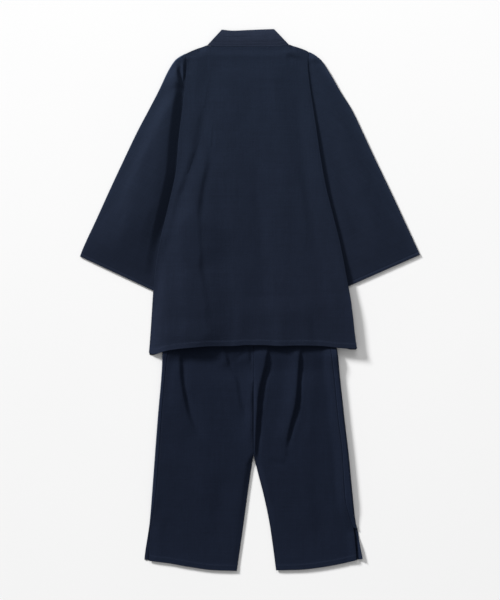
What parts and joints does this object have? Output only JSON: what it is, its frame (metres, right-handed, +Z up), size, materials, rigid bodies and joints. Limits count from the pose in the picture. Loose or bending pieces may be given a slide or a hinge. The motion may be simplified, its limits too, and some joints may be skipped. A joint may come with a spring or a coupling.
{
  "type": "samue jacket and trousers set, laid flat",
  "caption": "Cross-over cotton jacket with wide straight sleeves over matching cropped trousers, laid flat with the back side up.",
  "frame": {"origin": "on the surface the set lies on, under the middle of its bounding box", "axes": "+Z up from the surface; +Y from the trousers' hems to the neck; +X towards the wearer's right side, which is the picture's right because the set lies on its front"},
  "size_m": [0.85, 1.354, 0.0141],
  "materials": {
    "jacket_cloth": "plain-woven navy cotton, matt with a faint nap",
    "collar_cloth": "the same navy cotton, doubled and pressed",
    "tie_cloth": "the same navy cotton, sewn into flat strips",
    "trouser_cloth": "plain-woven navy cotton, matt"
  },
  "bodies": {
    "root": {"jacket_back": "jacket_cloth", "jacket_front_left": "jacket_cloth", "jacket_front_right": "jacket_cloth", "sleeve_left": "jacket_cloth", "sleeve_right": "jacket_cloth", "collar_back": "collar_cloth", "collar_left": "collar_cloth", "collar_right": "collar_cloth", "tie_outer_left": "tie_cloth", "tie_outer_right": "tie_cloth", "tie_inner_left": "tie_cloth", "tie_inner_right": "tie_cloth", "trousers_back_left": "trouser_cloth", "trousers_back_right": "trouser_cloth", "trousers_front_left": "trouser_cloth", "trousers_front_right": "trouser_cloth", "waistband": "trouser_cloth"}
  },
  "joints": []
}
